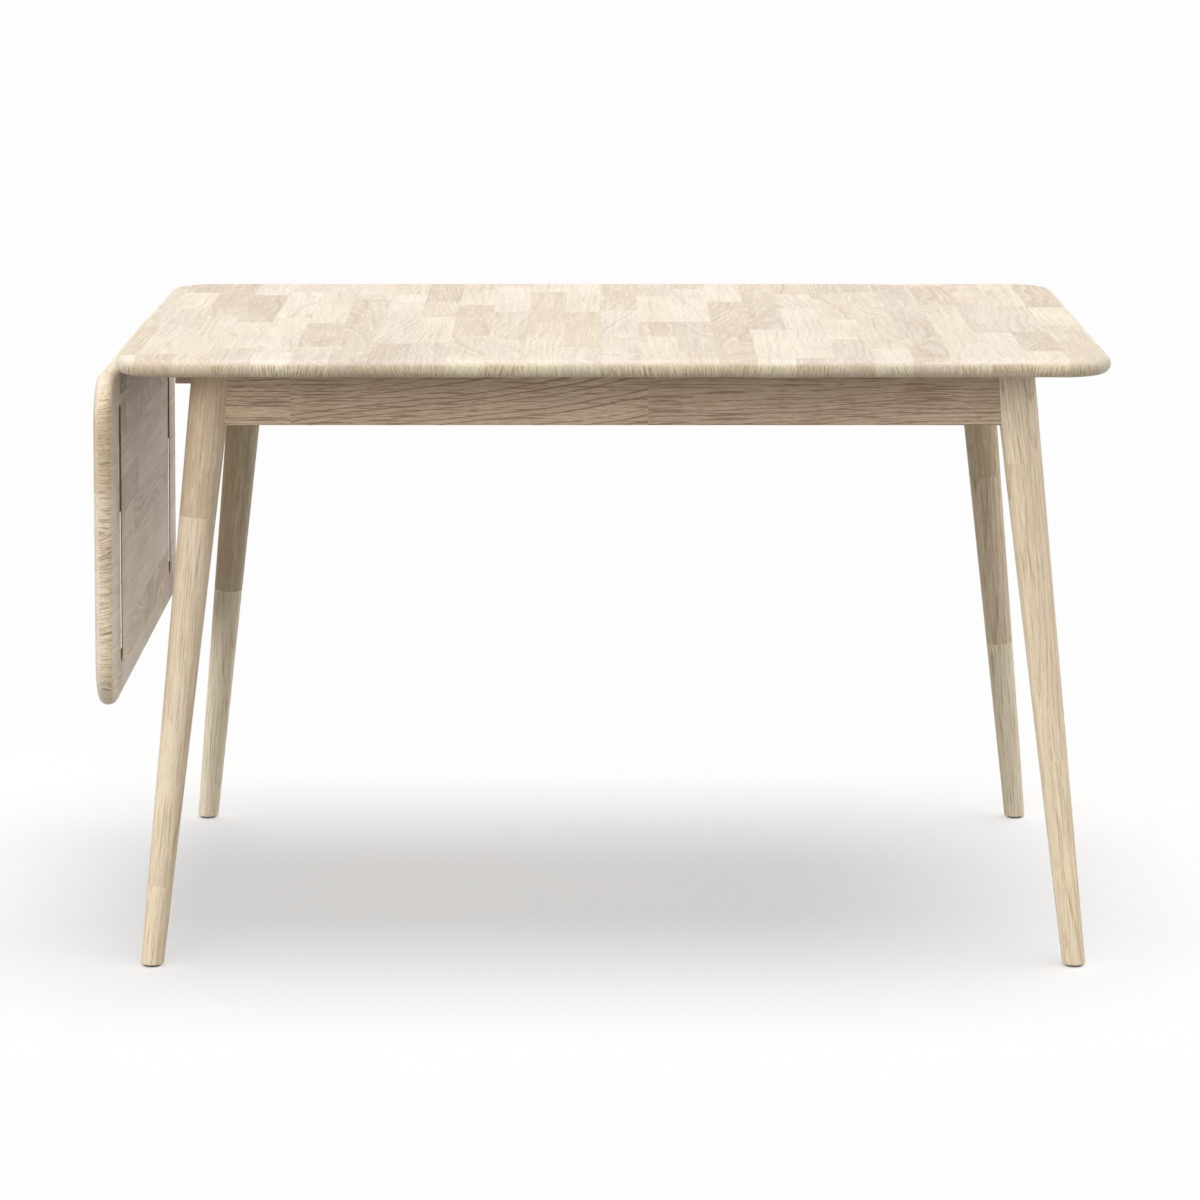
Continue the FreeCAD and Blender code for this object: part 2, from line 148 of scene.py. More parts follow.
def mixColour(tree, factor, first, second, blend="MIX"):
    node = tree.nodes.new("ShaderNodeMix")
    node.data_type = "RGBA"
    node.blend_type = blend
    colours = [socket for socket in node.inputs if socket.type == "RGBA"]
    feed(tree, node.inputs[0], factor)
    feed(tree, colours[0], first)
    feed(tree, colours[1], second)
    return next(socket for socket in node.outputs if socket.type == "RGBA")


def multiplyColour(tree, first, second):
    return mixColour(tree, 1.0, first, second, "MULTIPLY")


def ramp(tree, factor, stops):
    node = tree.nodes.new("ShaderNodeValToRGB")
    elements = node.color_ramp.elements
    while len(elements) < len(stops):
        elements.new(1.0)
    for element, (place, colour) in zip(elements, stops):
        element.position = place
        element.color = colour
    feed(tree, node.inputs[0], factor)
    return node.outputs["Color"]


def startGroup(name, takes, gives):
    tree = bpy.data.node_groups.new(name, "ShaderNodeTree")
    for label, value in takes.items():
        kind = "NodeSocketColor" if isinstance(value, tuple) else "NodeSocketFloat"
        socket = tree.interface.new_socket(label, in_out="INPUT", socket_type=kind)
        socket.default_value = value
    for label, kind in gives.items():
        tree.interface.new_socket(label, in_out="OUTPUT", socket_type=kind)
    source = tree.nodes.new("NodeGroupInput")
    target = tree.nodes.new("NodeGroupOutput")
    return tree, source.outputs, target.inputs


def placeGroup(tree, group, values):
    node = tree.nodes.new("ShaderNodeGroup")
    node.node_tree = group
    for label, value in values.items():
        feed(tree, node.inputs[label], value)
    return node.outputs


def startMaterial(name):
    material = bpy.data.materials.new(name)
    material.use_nodes = True
    tree = material.node_tree
    shader = tree.nodes["Principled BSDF"]
    return material, tree, shader


def wearSkin(tree, shader, skin, relief):  # colour, roughness and height onto the shader
    feed(tree, shader.inputs["Base Color"], skin["colour"])
    feed(tree, shader.inputs["Roughness"], skin["roughness"])
    bump = tree.nodes.new("ShaderNodeBump")
    bump.inputs["Strength"].default_value = relief["strength"]
    bump.inputs["Distance"].default_value = relief["depth"]
    feed(tree, bump.inputs["Height"], skin["height"])
    feed(tree, shader.inputs["Normal"], bump.outputs["Normal"])


def pick(source, *labels):
    return {label: source[label] for label in labels}


skinGives = {"colour": "NodeSocketColor", "roughness": "NodeSocketFloat", "height": "NodeSocketFloat"}
white = (1.0, 1.0, 1.0, 1.0)
draws = {"stave": 2.6, "cut": 1.7, "growth": 4.3, "tint": 8.9}  # keep one piece's random values apart


# staves of a glued-up board: columns of one width, cut to uneven lengths and butted
staves = {
    "lengths": (0.75, 1.3),  # shares of the usual length, from column to column
    "start": 9.0,  # columns start up to so many staves apart
    "swayTurn": 2.2,
    "swayStart": 6.3,
    "swayReach": 0.2,
    "columnMark": 7.13,  # with the row's, gives each piece its own number
    "rowMark": 1.37,
    "toneBend": 1.3,  # most are light
    "tones": (0.2, 1.0),
    "turns": (-1.25, 1.25),
    "rises": (-0.08, 0.08),
}


def makeStaveLayout():
    takes = {"across": 0.0, "along": 0.0, "width": 0.05, "length": 0.3, "seed": 0.0, "glueLine": 0.0002}
    gives = dict.fromkeys(("inStave", "piece", "joint", "tone", "turn", "rise"), "NodeSocketFloat")
    tree, take, give = startGroup("staveLayout", takes, gives)
    lane = calc(tree, "DIVIDE", take["across"], take["width"])
    column = calc(tree, "FLOOR", lane)
    fromMiddle = calc(tree, "SUBTRACT", calc(tree, "FRACT", lane), 0.5)

    luck = dice(tree, column, take["seed"])
    length = product(tree, take["length"], spread(tree, luck[0], staves["lengths"]))
    run = calc(tree, "DIVIDE", take["along"], length)
    run = total(tree, run, product(tree, luck[1], staves["start"]))
    swayStart = product(tree, luck[2], staves["swayStart"])
    sway = calc(tree, "SINE", calc(tree, "MULTIPLY_ADD", run, staves["swayTurn"], swayStart))
    run = calc(tree, "MULTIPLY_ADD", sway, staves["swayReach"], run)  # uneven lengths within a column
    row = calc(tree, "FLOOR", run)
    fromEnd = calc(tree, "SUBTRACT", calc(tree, "FRACT", run), 0.5)

    columnMark = product(tree, column, staves["columnMark"])
    rowMark = product(tree, row, staves["rowMark"])
    piece = total(tree, columnMark, rowMark, take["seed"])
    gaps = []
    for offset, size in ((fromMiddle, take["width"]), (fromEnd, length)):
        share = calc(tree, "SUBTRACT", 0.5, calc(tree, "ABSOLUTE", offset))
        gaps.append(product(tree, share, size))
    nearest = calc(tree, "MINIMUM", *gaps)

    luck = dice(tree, piece, draws["stave"])
    tone = calc(tree, "POWER", luck[0], staves["toneBend"])
    feed(tree, give["inStave"], product(tree, fromMiddle, take["width"]))
    feed(tree, give["piece"], piece)
    feed(tree, give["tone"], spread(tree, tone, staves["tones"]))
    feed(tree, give["turn"], spread(tree, luck[1], staves["turns"]))
    feed(tree, give["rise"], spread(tree, luck[2], staves["rises"]))
    feed(tree, give["joint"], remap(tree, nearest, take["glueLine"], 0.0, smooth=True))
    return tree


# one piece of oak: rings round a pith that lies outside the piece, pores, rays and fibres
oakRings = {
    "pithReach": (0.03, 0.13),
    "gapSpread": (0.7, 1.5),
    "bends": ({"size": (0.08, 0.28, 0.08), "detail": 1.0, "reach": 0.022},
              {"size": (0.025, 0.09, 0.025), "detail": 1.0, "reach": 0.005}),
    "porous": 0.08,  # share of a ring over which the pores set in
    "poreSpread": (0.5, 1.0),
    "strength": (0.15, 1.0, 0.05, 1.1),  # some rings hardly show
    "veinPlace": 0.78,
    "veinReach": 0.17,
    "veinLuck": (0.2, 0.6),
    "rayLean": (-0.3, 0.36),
}
oakMarks = {  # sizes across, along and through the grain
    "vessel": {"size": (0.0009, 0.014, 0.0009), "detail": 2.0, "window": (0.46, 0.66)},
    "fibre": {"size": (0.0018, 0.08, 0.0018), "detail": 3.0},
    "strand": {"size": (0.005, 0.20, 0.005), "detail": 2.0},
    "fleck": {"size": (0.004, 0.03, 0.004), "detail": 2.0, "window": (0.52, 0.70)},
    "cloud": {"size": (0.05, 0.18, 0.05), "detail": 2.0},
    "veinPatch": {"size": (0.02, 0.14, 0.02), "detail": 1.0, "window": (0.36, 0.58)},
    "ray": {"size": (0.0009, 0.016, 0.022), "detail": 2.0, "window": (0.47, 0.63)},
}
oakTones = {
    "lineWindow": (0.50, 0.68),  # fibres that show as dark lines
    "ring": (0.34, 0.12),  # on the side grain and on the end grain
    "vessel": 0.06,
    "ray": 0.05,
    "line": 0.4,
    "joint": 0.25,
    "darkest": 0.9,
    "hatch": (0.46, 0.345, 0.205, 1.0),
    "hatchSpread": (0.35, 1.2),
    "endWarmth": (1.0, 0.975, 0.885, 1.0),
    "fleck": 0.4,
    "casts": ((0.0, (1.0, 0.98, 0.91, 1.0)), (0.55, white), (1.0, (1.0, 0.982, 0.972, 1.0))),
    "fibreLight": (0.25, 0.75, 0.92, 1.07),
    "strandLight": (0.25, 0.75, 0.93, 1.06),
}
oakTouch = {
    "rough": 0.50,
    "poreRough": 0.25,
    "fibreRough": 0.12,
    "poreRise": -0.6,
    "vesselRise": -0.3,
    "fibreRise": 0.3,
    "jointRise": -0.5,
}


def makeOakFigure():
    takes = {
        "across": 0.0, "along": 0.0, "depth": 0.0, "piece": 0.0, "tone": 0.3, "turn": 0.0, "rise": 0.0,
        "joint": 0.0, "endGrain": 0.0, "grooveShade": 0.0, "ringGap": 0.0036, "sway": 1.0, "earlyShare": 0.5,
        "figure": 1.0, "streak": 1.0, "vein": 0.0, "hatch": 1.0,
        "pale": (0.8, 0.7, 0.58, 1.0), "tan": (0.6, 0.5, 0.38, 1.0), "dark": (0.3, 0.2, 0.12, 1.0),
    }
    tree, take, give = startGroup("oakFigure", takes, skinGives)
    cut, growth, tint = [dice(tree, take["piece"], draws[label]) for label in ("cut", "growth", "tint")]
    shift = join(tree, growth[0], growth[1], growth[2])
    place = vectorCalc(tree, "ADD", join(tree, take["across"], take["along"], take["depth"]), shift)

    # growth rings, at a distance from the pith that bends, rises and wanders along the piece
    pithReach = spread(tree, cut[0], oakRings["pithReach"])
    pithX = product(tree, pithReach, calc(tree, "SINE", take["turn"]))
    pithZ = product(tree, pithReach, calc(tree, "COSINE", take["turn"]))
    fromPithX = calc(tree, "SUBTRACT", take["across"], pithX)
    fromPithZ = total(tree, take["depth"], pithZ)
    square = product(tree, fromPithZ, fromPithZ)
    radius = calc(tree, "SQRT", calc(tree, "MULTIPLY_ADD", fromPithX, fromPithX, square))
    bends = [calc(tree, "MULTIPLY_ADD", mark(tree, place, bend), bend["reach"], -bend["reach"] / 2)
             for bend in oakRings["bends"]]
    wander = product(tree, total(tree, *bends), take["sway"])
    rise = product(tree, take["along"], take["rise"])
    gap = product(tree, take["ringGap"], spread(tree, tint[2], oakRings["gapSpread"]))
    phase = calc(tree, "DIVIDE", total(tree, radius, rise, wander), gap)
    inRing = calc(tree, "FRACT", phase)
    ringLuck = dice(tree, calc(tree, "FLOOR", phase), take["piece"])
    early = product(tree, remap(tree, inRing, 0.0, oakRings["porous"], smooth=True),
                    remap(tree, inRing, take["earlyShare"], oakRings["porous"], smooth=True))
    band = product(tree, early, remap(tree, ringLuck[0], *oakRings["strength"]))

    # vessels crowd into the early wood, fibres run through it all, veins follow the late wood
    vessel, fibre, strand, fleck, cloud, veinPatch = [
        mark(tree, place, oakMarks[label])
        for label in ("vessel", "fibre", "strand", "fleck", "cloud", "veinPatch")]
    porous = product(tree, band, spread(tree, vessel, oakRings["poreSpread"]))
    line = remap(tree, fibre, *oakTones["lineWindow"], smooth=True)
    fromVein = calc(tree, "ABSOLUTE", calc(tree, "SUBTRACT", inRing, oakRings["veinPlace"]))
    vein = remap(tree, fromVein, oakRings["veinReach"], 0.0, smooth=True)
    vein = product(tree, vein, veinPatch, take["vein"], remap(tree, ringLuck[1], *oakRings["veinLuck"]))

    # rays stand nearly square to the face: dashes along it, a close hatch on the end grain
    lean = spread(tree, cut[1], oakRings["rayLean"])
    rayAcross = calc(tree, "MULTIPLY_ADD", take["depth"], lean, take["across"])
    rayPlace = vectorCalc(tree, "ADD", join(tree, rayAcross, take["along"], take["depth"]), shift)
    ray = mark(tree, rayPlace, oakMarks["ray"])
    hatchShare = spread(tree, tint[0], oakTones["hatchSpread"])
    hatch = product(tree, ray, take["endGrain"], take["hatch"], hatchShare)

    # dark marks
    sideGrain = calc(tree, "SUBTRACT", 1.0, take["endGrain"])
    marks = weigh(tree, (porous, spread(tree, take["endGrain"], oakTones["ring"])),
                  (vessel, oakTones["vessel"]), (product(tree, ray, sideGrain), oakTones["ray"]))
    marks = product(tree, marks, take["figure"])
    lines = product(tree, line, sideGrain, product(tree, take["streak"], oakTones["line"]))
    marks = total(tree, marks, lines, product(tree, take["joint"], oakTones["joint"]))
    # painted shade in the leaf's grooves darkens the marks at least so far
    marks = calc(tree, "MINIMUM", calc(tree, "MAXIMUM", marks, take["grooveShade"]), oakTones["darkest"])

    # from the ground tone up to the marks
    tone = total(tree, take["tone"], calc(tree, "SUBTRACT", cloud, 0.5))
    tone = calc(tree, "MINIMUM", calc(tree, "MAXIMUM", tone, 0.0), 1.0)
    wood = mixColour(tree, tone, take["pale"], take["tan"])
    wood = multiplyColour(tree, wood, ramp(tree, tint[1], oakTones["casts"]))
    lightness = total(tree, product(tree, fleck, oakTones["fleck"]), vein)
    wood = mixColour(tree, lightness, wood, take["pale"])
    wood = multiplyColour(tree, wood, mixColour(tree, take["endGrain"], white, oakTones["endWarmth"]))
    wood = mixColour(tree, hatch, wood, oakTones["hatch"])
    wood = mixColour(tree, marks, wood, take["dark"])
    light = product(tree, remap(tree, fibre, *oakTones["fibreLight"]),
                    remap(tree, strand, *oakTones["strandLight"]))
    feed(tree, give["colour"], multiplyColour(tree, wood, join(tree, light, light, light)))

    rough = weigh(tree, (porous, oakTouch["poreRough"]), (fibre, oakTouch["fibreRough"]))
    feed(tree, give["roughness"], total(tree, oakTouch["rough"], rough))
    height = weigh(tree, (porous, oakTouch["poreRise"]), (vessel, oakTouch["vesselRise"]),
                   (fibre, oakTouch["fibreRise"]), (take["joint"], oakTouch["jointRise"]))
    feed(tree, give["height"], height)
    return tree


# worked steel: tone patches, rubbing lines along one axis, and a finer speckle
steelMarks = {
    "speckle": {"size": (0.0007, 0.0007, 0.0007), "detail": 2.0},
    "smudge": {"size": (0.02, 0.02, 0.02), "detail": 3.0},
    "rubDetail": 2.0,
    "patchDull": 0.35,
    "rubDull": 0.5,
    "smudgeDull": 0.5,
    "clean": -0.35,
    "rubRough": 0.16,
    "smudgeRough": 0.16,
    "speckleRise": 0.5,
}


def makeSteelSkin():
    takes = {"x": 0.0, "y": 0.0, "z": 0.0, "patch": 0.008, "rubLength": 0.03, "rubWidth": 0.0006,
             "wear": 1.0, "rough": 0.24, "bright": (0.7, 0.7, 0.68, 1.0), "dull": (0.4, 0.4, 0.4, 1.0)}
    tree, take, give = startGroup("steelSkin", takes, skinGives)
    place = join(tree, take["x"], take["y"], take["z"])
    patchSize = join(tree, take["patch"], take["patch"], take["patch"])
    cells = tree.nodes.new("ShaderNodeTexVoronoi")
    cells.inputs["Scale"].default_value = 1.0
    feed(tree, cells.inputs["Vector"], vectorCalc(tree, "DIVIDE", place, patchSize))
    patch = split(tree, cells.outputs["Color"])[0]
    rubSize = join(tree, take["rubLength"], take["rubWidth"], take["rubWidth"])
    rub = noise(tree, place, rubSize, steelMarks["rubDetail"])
    speckle = mark(tree, place, steelMarks["speckle"])
    smudge = mark(tree, place, steelMarks["smudge"])

    dullness = weigh(tree, (patch, steelMarks["patchDull"]), (rub, steelMarks["rubDull"]),
                     (smudge, steelMarks["smudgeDull"]))
    dullness = product(tree, total(tree, dullness, steelMarks["clean"]), take["wear"])
    feed(tree, give["colour"], mixColour(tree, dullness, take["bright"], take["dull"]))
    rough = weigh(tree, (rub, steelMarks["rubRough"]), (smudge, steelMarks["smudgeRough"]))
    feed(tree, give["roughness"], total(tree, take["rough"], rough))
    feed(tree, give["height"], total(tree, rub, product(tree, speckle, steelMarks["speckleRise"])))
    return tree


staveLayout = makeStaveLayout()
oakFigure = makeOakFigure()
steelSkin = makeSteelSkin()
print("node groups made")


# oiled pale oak, with the colours of the top
oakOil = {
    "pale": (0.83, 0.75, 0.635, 1.0),
    "tan": (0.605, 0.508, 0.415, 1.0),
    "dark": (0.30, 0.20, 0.12, 1.0),
    "specular": 0.30,
    "relief": {"strength": 0.25, "depth": 0.0003},
    "endWindow": (0.5, 0.95),  # how squarely a face has to lie to the grain to show its end
}


def finishOak(tree, shader, grain):
    skin = placeGroup(tree, oakFigure, grain)
    wearSkin(tree, shader, skin, oakOil["relief"])
    shader.inputs["Specular IOR Level"].default_value = oakOil["specular"]


# coordinates across, along and through the grain, and where a face shows the end grain; shadeRoll draws
# that end grain and its darker hatch further round the edge that faces away from the third axis, or
# towards it below 0, as painted shade
def grainFrame(tree, axes, origin, shadeRoll=0.0):
    source = tree.nodes.new("ShaderNodeTexCoord")
    local = vectorCalc(tree, "SUBTRACT", source.outputs["Object"], origin)
    across, along, through = [vectorCalc(tree, "DOT_PRODUCT", local, axis) for axis in axes]
    square = calc(tree, "ABSOLUTE", vectorCalc(tree, "DOT_PRODUCT", source.outputs["Normal"], axes[1]))
    up = vectorCalc(tree, "DOT_PRODUCT", source.outputs["Normal"], axes[2])
    # painted shade: the end grain and its darker hatch reach further round the shaded side of a rounded
    # edge
    square = product(tree, square, calc(tree, "MULTIPLY_ADD", up, -shadeRoll, 1.0))
    return across, along, through, remap(tree, square, *oakOil["endWindow"], smooth=True)


def boxMiddle(name):
    return sum(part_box(name), Vector()) / 2


axisX, axisY, axisZ = (1.0, 0.0, 0.0), (0.0, 1.0, 0.0), (0.0, 0.0, 1.0)


# boards of staves
columnShift = Vector((0.03241, 0.0, 0.0))  # where a column of the top starts, from its middle
fixedTop = {
    "axes": (axisX, axisY, axisZ),
    "origin": tuple(boxMiddle("fixed_top") + columnShift),
    "width": 0.0466,
    "length": 0.27,
    "seed": 17.0,
    "toneSpread": 1.02,
    "ringGap": 0.006,
    "sway": 1.7,
    "earlyShare": 0.5,
    "figure": 0.65,
    "streak": 0.6,
    "vein": 0.45,
    "hatch": 1.3,
    # painted shade on the lower round of the top's edges
    "shadeRoll": 0.6,
    "groove": None,
    "upperFace": None,
    **pick(oakOil, "pale", "tan", "dark"),
}
leafHinge = next(joint for joint in frame["joints"] if joint["name"] == "leaf_hinge")
leafLean = math.radians(90.0 - leafHinge["range_deg"][1])  # it hangs a little out of plumb
leafUp = (math.sin(leafLean), 0.0, math.cos(leafLean))
leafFace = (math.cos(leafLean), 0.0, -math.sin(leafLean))
dropLeaf = {
    **fixedTop,
    "axes": (leafUp, axisY, leafFace),
    "origin": tuple(leafHinge["pos_m"]),
    "seed": 11.0,
    "toneSpread": 1.0,
    "figure": 0.7,
    "streak": 0.65,
    "vein": 0.8,
    "hatch": 1.7,
    # painted shade on the inner round of the leaf's edges
    "shadeRoll": -0.65,
    # painted light: paler than the top's oak, to stand in for light on the leaf's inner face and edges
    "pale": (0.95, 0.845, 0.695, 1.0),
    "tan": (0.68, 0.57, 0.45, 1.0),
    # painted shade: the grooves' walls darkened by this tone, standing in for the shade inside them
    "groove": {
        "along": 0.300,  # either side of the middle
        "reach": 0.0118,
        "run": (-0.380, -0.030),
        "depth": (-0.012, -0.0004),
        "tone": 0.88,
    },
    "upperFace": (-0.0165, -0.0215),
}


def paintGrooveShade(tree, groove, across, along, through):  # painted shade: the grooves' walls are darkened to stand in for the shade inside them
    offset = calc(tree, "ABSOLUTE", calc(tree, "SUBTRACT", calc(tree, "ABSOLUTE", along), groove["along"]))
    grooveShade = product(tree, calc(tree, "LESS_THAN", offset, groove["reach"]), groove["tone"])
    for place, (low, high) in ((across, groove["run"]), (through, groove["depth"])):
        above = calc(tree, "GREATER_THAN", place, low)
        below = calc(tree, "LESS_THAN", place, high)
        grooveShade = product(tree, grooveShade, above, below)
    return grooveShade


def makeBoardOak(name, board):
    material, tree, shader = startMaterial(name)
    across, along, through, endGrain = grainFrame(tree, board["axes"], board["origin"], board["shadeRoll"])
    layout = {"across": across, "along": along, **pick(board, "width", "length", "seed")}
    stave = placeGroup(tree, staveLayout, layout)
    grain = {
        "across": stave["inStave"],
        "along": along,
        "depth": through,
        "endGrain": endGrain,
        "tone": product(tree, stave["tone"], board["toneSpread"]),
        **pick(stave, "piece", "turn", "rise", "joint"),
        **pick(board, "ringGap", "sway", "earlyShare", "figure", "streak", "vein", "hatch"),
        **pick(board, "pale", "tan", "dark"),
    }
    if board["upperFace"]:  # the face that lies beside the fixed top has its colours; the other faces keep the paler ones, painted light
        onTop = remap(tree, through, *board["upperFace"], smooth=True)
        for label in ("pale", "tan"):
            grain[label] = mixColour(tree, onTop, board[label], oakOil[label])
    if board["groove"]:
        # painted shade in the grooves
        grain["grooveShade"] = paintGrooveShade(tree, board["groove"], across, along, through)
    finishOak(tree, shader, grain)
    return material


# rails and legs: lengths of oak joined end to end, each with the place where it starts along the
# piece, its tone, and its turn and rise in the tree
longApron = {
    "lengths": ((-1.0, 0.1, 1.4, 0.01), (-0.3778, 0.4, 1.0, 0.13), (0.0558, 0.6, -1.1, -0.05)),
    "seam": 1.0,  # wider than the rail, so it has none
    "seamTone": 0.0,
    "seed": 40.0,
    "ringGap": 0.0055,
    "sway": 0.85,
    "earlyShare": 0.36,
    "figure": 5.0,
    "streak": 2.4,
    # browner and darker than the top's oak, partly painted shade that stands in for the shade under the
    # top's overhang
    "pale": (0.78, 0.635, 0.465, 1.0),
    "tan": (0.57, 0.445, 0.31, 1.0),
    "dark": oakOil["dark"],
}
endApron = {
    **longApron,
    "lengths": ((-1.0, 0.2, 1.2, 0.03), (-0.11, 0.5, -0.9, -0.06), (0.17, 0.3, 1.1, 0.04)),
    "seed": 52.0,
}
bearer = {
    **longApron,
    "lengths": ((-1.0, 0.2, 1.0, 0.03),),
    "seed": 61.0,
    "figure": 1.5,
    "streak": 1.0,
    # paler than the aprons: painted light for the bearers, which sit in the shade under the top
    "pale": (0.85, 0.74, 0.60, 1.0),
    "tan": (0.66, 0.55, 0.42, 1.0),
}
legFinish = {
    "seamTone": 0.9,
    "ringGap": 0.0055,
    "sway": 0.8,
    "earlyShare": 0.4,
    "figure": 1.6,
    "streak": 1.4,
    # paler than the top's oak: painted light that stands in for light on the legs' upright faces
    "pale": (0.98, 0.86, 0.655, 1.0),
    "tan": (0.70, 0.555, 0.385, 1.0),
    "dark": (0.42, 0.29, 0.17, 1.0),
}
legs = {
    "front_left": {
        "lengths": ((-1.0, 0.35, 0.6, 0.03), (0.097, 0.42, -0.9, 0.02), (0.552, 1.0, 0.8, -0.05)),
        "seam": 0.011,
        "seed": 70.0,
    },
    "front_right": {
        "lengths": ((-1.0, 0.2, 0.7, -0.04), (0.253, 0.25, 1.0, 0.03), (0.619, 0.2, -0.8, 0.06)),
        "seam": -0.012,
        "seed": 80.0,
    },
    "back_left": {
        # the upper length darker than the lower: partly the wood's own tone, partly painted shade under
        # the top
        "lengths": ((-1.0, -0.3, -0.9, 0.04), (0.334, 0.65, 0.8, -0.03)),
        "seam": 0.009,
        "seed": 90.0,
        # a greyer tan: painted shade for the shadow on this leg's upper length
        "tan": (0.58, 0.48, 0.375, 1.0),
    },
    "back_right": {
        # the upper lengths darker than the lowest: partly the wood's own tone, partly painted shade under
        # the top
        "lengths": ((-1.0, -0.25, 0.8, 0.02), (0.257, 0.35, 0.7, 0.03), (0.497, 0.55, 0.9, 0.05)),
        "seam": -0.010,
        "seed": 100.0,
    },
}
seamMark = 0.31  # sets apart the two strips that a seam joins
seedStep = 3.0  # between two pieces of one kind
endLevel = 0.0002  # a leg's end is flat to within this


def makeLengthOak(name, axes, origin, length):
    material, tree, shader = startMaterial(name)
    across, along, through, endGrain = grainFrame(tree, axes, origin)
    piece = product(tree, calc(tree, "GREATER_THAN", across, length["seam"]), seamMark)
    first, *rest = length["lengths"]
    tone = calc(tree, "MULTIPLY_ADD", piece, length["seamTone"], first[1])  # the seam runs from end to end
    turn, rise = first[2:]
    for before, after in zip(length["lengths"], rest):
        past = calc(tree, "GREATER_THAN", along, after[0])
        piece = total(tree, piece, past)
        tone, turn, rise = [calc(tree, "MULTIPLY_ADD", past, after[i] - before[i], value)
                            for i, value in ((1, tone), (2, turn), (3, rise))]
    finishOak(tree, shader, {
        "across": across,
        "along": along,
        "depth": through,
        "endGrain": endGrain,
        "tone": tone,
        "turn": turn,
        "rise": rise,
        "piece": total(tree, piece, length["seed"]),
        **pick(length, "ringGap", "sway", "earlyShare", "figure", "streak", "pale", "tan", "dark"),
    })
    return material


def endCentre(node, top):  # middle of a leg's round end
    points = [vertex.co for vertex in nodes[node].data.vertices]
    level = max(p.z for p in points) if top else min(p.z for p in points)
    ring = [p for p in points if abs(p.z - level) < endLevel]
    return Vector((sum((max(p[i] for p in ring), min(p[i] for p in ring))) / 2 for i in range(3)))


def makeLegOak(corner):
    node = corner + "_leg"
    foot = endCentre(node, False)
    along = (endCentre(node, True) - foot).normalized()
    across = Vector(axisX).cross(along).cross(along).normalized() * -1
    axes = [tuple(axis) for axis in (across, along, across.cross(along))]
    return makeLengthOak("oak_leg_" + corner, axes, tuple(foot), {**legFinish, **legs[corner]})


# plated brackets and screws, dark brown hinges, partly painted shade for the crevice under the top where
# they sit, and bright drawn stiffeners
steels = {
    "bracket": {"patch": 0.007, "rubLength": 0.012, "rubWidth": 0.0007, "wear": 1.0,
                "bright": (0.66, 0.67, 0.68, 1.0), "dull": (0.36, 0.37, 0.38, 1.0)},
    "fastener": {"patch": 0.003, "rubLength": 0.002, "rubWidth": 0.0004, "wear": 0.9,
                 "bright": (0.72, 0.71, 0.68, 1.0), "dull": (0.42, 0.40, 0.36, 1.0)},
    # dark brown, partly painted shade: it stands in for the shade under the top where the hinges sit
    "hinge": {"patch": 0.02, "rubLength": 0.05, "rubWidth": 0.0005, "wear": 0.9, "rough": 0.5,
              "bright": (0.40, 0.365, 0.31, 1.0), "dull": (0.26, 0.235, 0.20, 1.0)},
    "stiffener": {"patch": 0.05, "rubLength": 0.12, "rubWidth": 0.0008, "wear": 0.6,
                  "bright": (0.90, 0.84, 0.81, 1.0), "dull": (0.74, 0.68, 0.65, 1.0)},
}
steelRelief = {"strength": 0.12, "depth": 0.0002}


def makeSteel(kind, axes):  # the first axis is the one that the rubbing lines follow
    material, tree, shader = startMaterial("steel_" + kind)
    source = tree.nodes.new("ShaderNodeTexCoord")
    x, y, z = [vectorCalc(tree, "DOT_PRODUCT", source.outputs["Object"], axis) for axis in axes]
    skin = placeGroup(tree, steelSkin, {"x": x, "y": y, "z": z, **steels[kind]})
    wearSkin(tree, shader, skin, steelRelief)
    shader.inputs["Metallic"].default_value = 1.0
    return material


# dark plastic under the feet, scuffed by the floor
glide = {
    "colour": (0.10, 0.09, 0.085, 1.0),
    "scuffed": (0.20, 0.19, 0.18, 1.0),
    "grit": {"size": (0.0006, 0.0006, 0.0006), "detail": 2.0},
    "gritRough": (0.2, 0.8, 0.45, 0.65),
    "scuff": {"size": (0.004, 0.0012, 0.004), "detail": 3.0},
    "scuffWindow": (0.5, 0.75),
    "relief": {"strength": 0.2, "depth": 0.0002},
}


def makeGlidePlastic():
    material, tree, shader = startMaterial("glide_plastic")
    place = tree.nodes.new("ShaderNodeTexCoord").outputs["Object"]
    grit = mark(tree, place, glide["grit"])
    scuff = remap(tree, mark(tree, place, glide["scuff"]), *glide["scuffWindow"])
    skin = {
        "colour": mixColour(tree, scuff, glide["colour"], glide["scuffed"]),
        "roughness": remap(tree, grit, *glide["gritRough"]),
        "height": grit,
    }
    wearSkin(tree, shader, skin, glide["relief"])
    return material


# each node takes its finish by name
def coat(material, *names):
    for name in names:
        for slot in nodes[name].material_slots:
            slot.material = material


def middleAcross(name, axis):  # a rail's own middle, but measured along from the table's
    middle = boxMiddle(name)
    middle[1 - axis] = 0.0
    return tuple(middle)


def reseed(length, index):
    return {**length, "seed": length["seed"] + seedStep * index}


